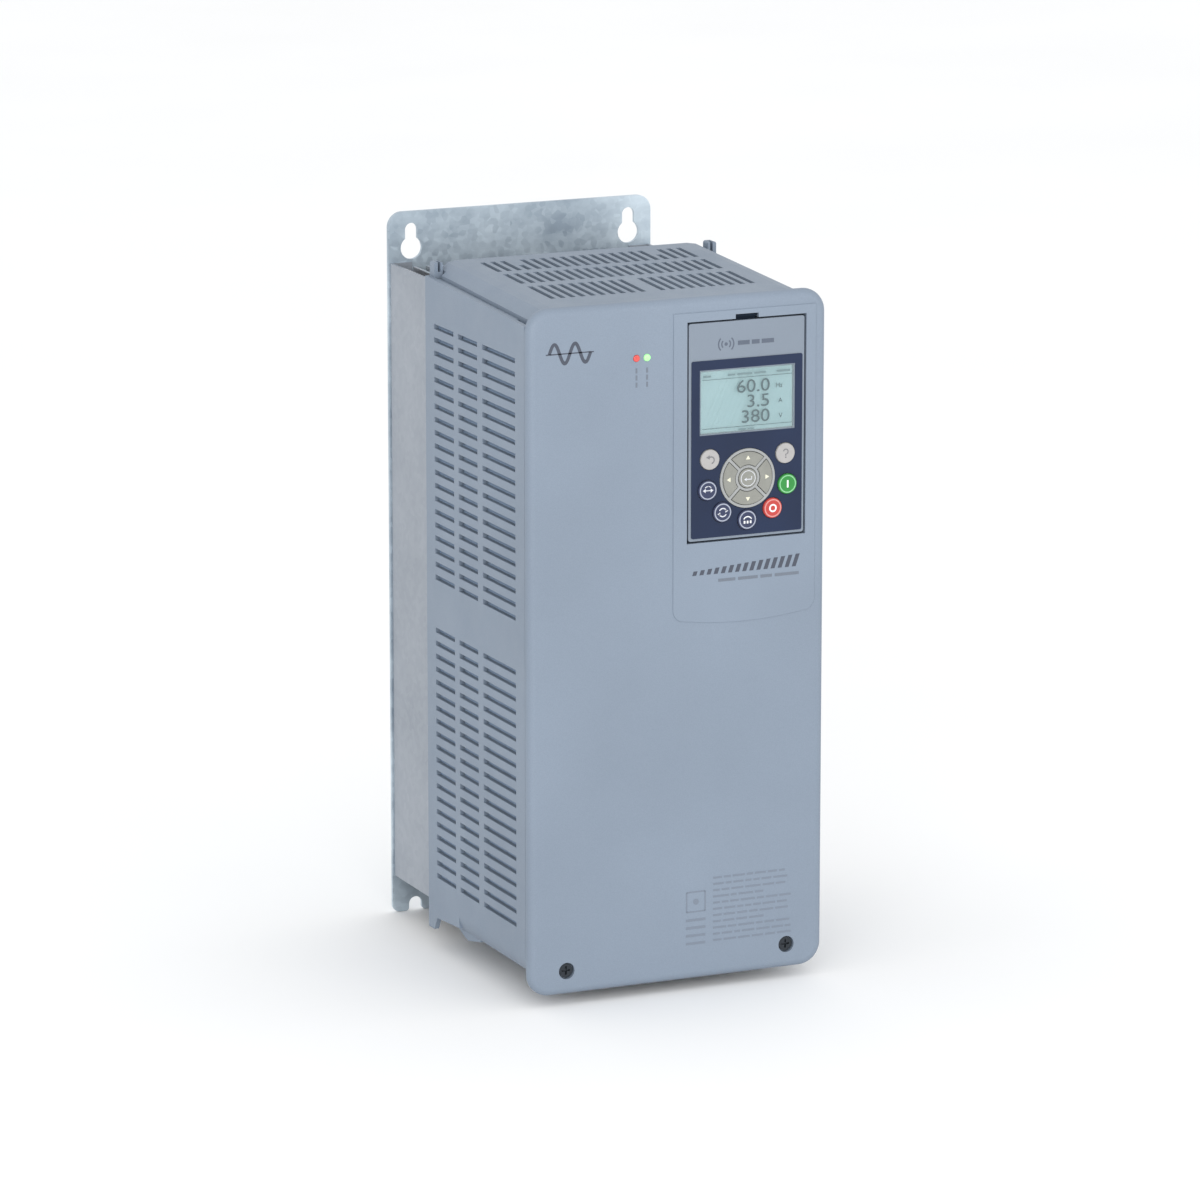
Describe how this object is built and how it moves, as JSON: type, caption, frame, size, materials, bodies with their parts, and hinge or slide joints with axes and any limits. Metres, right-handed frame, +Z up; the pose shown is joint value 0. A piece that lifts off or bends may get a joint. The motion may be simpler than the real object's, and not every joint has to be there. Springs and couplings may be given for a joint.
{
  "type": "variable frequency drive",
  "caption": "Wall-mounted variable frequency drive: vented housing on a finned duct, back plate with keyholes, and a removable keypad with a display.",
  "frame": {"origin": "centre of the wall fixing pattern, on the rear face of the back plate", "axes": "+X to the right seen from the front, +Y into the wall, +Z up"},
  "size_m": [0.164, 0.203, 0.3773],
  "materials": {
    "galvanised": "hot-dip galvanised, spangled",
    "galvanised_duct": "galvanised sheet, matt",
    "sink_alloy": "extruded, natural",
    "fan_plastic": "black glass-filled",
    "guard_wire": "plated wire",
    "housing_plastic": "fine moulded texture, blue grey",
    "grommet_rubber": "black",
    "screw_steel": "zinc plated",
    "stud_brass": "nickel-free brass",
    "module_epoxy": "black filled epoxy",
    "board_green": "solder mask",
    "capacitor_sleeve": "shrink sleeve",
    "sensor_plastic": "moulded",
    "core_steel": "varnished laminations",
    "winding_copper": "enamelled copper",
    "ferrite": "coated ferrite",
    "terminal_plastic": "moulded",
    "ribbon_plastic": "flat cable",
    "lens_red": "diffuse lens",
    "lens_green": "diffuse lens, lit",
    "keypad_plastic": "fine moulded texture",
    "overlay_navy": "printed film",
    "lcd_clear": "clear",
    "lcd_panel": "display",
    "mat_rubber": "silicone",
    "bezel_light": "satin",
    "key_grey": "satin silicone",
    "key_navy": "satin silicone",
    "key_green": "satin silicone",
    "key_red": "satin silicone"
  },
  "bodies": {
    "chassis": {"back_plate": "galvanised", "duct_side_left": "galvanised_duct", "duct_side_right": "galvanised_duct", "heat_sink": "sink_alloy", "fan_frame_left": "fan_plastic", "fan_frame_right": "fan_plastic", "fan_tray": "galvanised", "fan_guards": "guard_wire", "housing_side_left": "housing_plastic", "housing_side_right": "housing_plastic", "top_cover": "housing_plastic", "gland_plate": "galvanised", "cable_grommets": "grommet_rubber", "inner_frame": "galvanised", "power_module": "module_epoxy", "rectifier_bridge": "module_epoxy", "module_screws": "screw_steel", "power_board": "board_green", "control_board": "board_green", "standoffs": "stud_brass", "board_screws": "screw_steel", "dc_capacitors": "capacitor_sleeve", "current_sensors": "sensor_plastic", "choke_core_stack": "core_steel", "choke_windings": "winding_copper", "emc_toroid": "ferrite", "power_terminals": "terminal_plastic", "terminal_screws": "screw_steel", "control_terminals": "terminal_plastic", "ribbon_cable": "ribbon_plastic", "keypad_socket": "terminal_plastic", "earth_studs": "stud_brass"},
    "cover": {"front_cover": "housing_plastic", "cover_screws": "screw_steel", "led_fault": "lens_red", "led_run": "lens_green"},
    "keypad": {"keypad_shell": "keypad_plastic", "keypad_back": "keypad_plastic", "keypad_overlay": "overlay_navy", "lcd_window": "lcd_clear", "lcd_module": "lcd_panel", "key_mat": "mat_rubber", "keypad_board": "board_green", "keypad_plug": "terminal_plastic", "nav_bezel": "bezel_light"},
    "latch": {"keypad_latch": "terminal_plastic"},
    "rotor_left": {"fan_rotor_left": "fan_plastic"},
    "rotor_right": {"fan_rotor_right": "fan_plastic"},
    "key_up": {"key_up": "key_grey"},
    "key_down": {"key_down": "key_grey"},
    "key_left": {"key_left": "key_grey"},
    "key_right": {"key_right": "key_grey"},
    "key_enter": {"key_enter": "key_grey"},
    "key_back": {"key_back": "key_grey"},
    "key_help": {"key_help": "key_grey"},
    "key_start": {"key_start": "key_green"},
    "key_stop": {"key_stop": "key_red"},
    "key_local": {"key_local": "key_navy"},
    "key_direction": {"key_direction": "key_navy"},
    "key_jog": {"key_jog": "key_navy"}
  },
  "joints": [
    {"name": "cover_off", "type": "slide", "parent": "chassis", "child": "cover", "axis": [0, -1, 0], "range_m": [0, 0.06]},
    {"name": "keypad_off", "type": "slide", "parent": "cover", "child": "keypad", "axis": [0, -1, 0], "range_m": [0, 0.04]},
    {"name": "latch_press", "type": "slide", "parent": "keypad", "child": "latch", "axis": [0, 0, -1], "range_m": [0, 0.0015], "stiffness_N_per_m": 300, "springref_m": -0.001},
    {"name": "fan_left_spin", "type": "hinge", "parent": "chassis", "child": "rotor_left", "pos_m": [-0.034, -0.0355, -0.145], "axis": [0, 0, 1], "continuous": true},
    {"name": "fan_right_spin", "type": "hinge", "parent": "chassis", "child": "rotor_right", "pos_m": [0.034, -0.0355, -0.145], "axis": [0, 0, 1], "continuous": true},
    {"name": "key_up_press", "type": "slide", "parent": "keypad", "child": "key_up", "axis": [0, 1, 0], "range_m": [0, 0.001], "stiffness_N_per_m": 250, "springref_m": -0.001},
    {"name": "key_down_press", "type": "slide", "parent": "keypad", "child": "key_down", "axis": [0, 1, 0], "range_m": [0, 0.001], "stiffness_N_per_m": 250, "springref_m": -0.001},
    {"name": "key_left_press", "type": "slide", "parent": "keypad", "child": "key_left", "axis": [0, 1, 0], "range_m": [0, 0.001], "stiffness_N_per_m": 250, "springref_m": -0.001},
    {"name": "key_right_press", "type": "slide", "parent": "keypad", "child": "key_right", "axis": [0, 1, 0], "range_m": [0, 0.001], "stiffness_N_per_m": 250, "springref_m": -0.001},
    {"name": "key_enter_press", "type": "slide", "parent": "keypad", "child": "key_enter", "axis": [0, 1, 0], "range_m": [0, 0.001], "stiffness_N_per_m": 250, "springref_m": -0.001},
    {"name": "key_back_press", "type": "slide", "parent": "keypad", "child": "key_back", "axis": [0, 1, 0], "range_m": [0, 0.001], "stiffness_N_per_m": 250, "springref_m": -0.001},
    {"name": "key_help_press", "type": "slide", "parent": "keypad", "child": "key_help", "axis": [0, 1, 0], "range_m": [0, 0.001], "stiffness_N_per_m": 250, "springref_m": -0.001},
    {"name": "key_start_press", "type": "slide", "parent": "keypad", "child": "key_start", "axis": [0, 1, 0], "range_m": [0, 0.001], "stiffness_N_per_m": 250, "springref_m": -0.001},
    {"name": "key_stop_press", "type": "slide", "parent": "keypad", "child": "key_stop", "axis": [0, 1, 0], "range_m": [0, 0.001], "stiffness_N_per_m": 250, "springref_m": -0.001},
    {"name": "key_local_press", "type": "slide", "parent": "keypad", "child": "key_local", "axis": [0, 1, 0], "range_m": [0, 0.001], "stiffness_N_per_m": 250, "springref_m": -0.001},
    {"name": "key_direction_press", "type": "slide", "parent": "keypad", "child": "key_direction", "axis": [0, 1, 0], "range_m": [0, 0.001], "stiffness_N_per_m": 250, "springref_m": -0.001},
    {"name": "key_jog_press", "type": "slide", "parent": "keypad", "child": "key_jog", "axis": [0, 1, 0], "range_m": [0, 0.001], "stiffness_N_per_m": 250, "springref_m": -0.001}
  ]
}
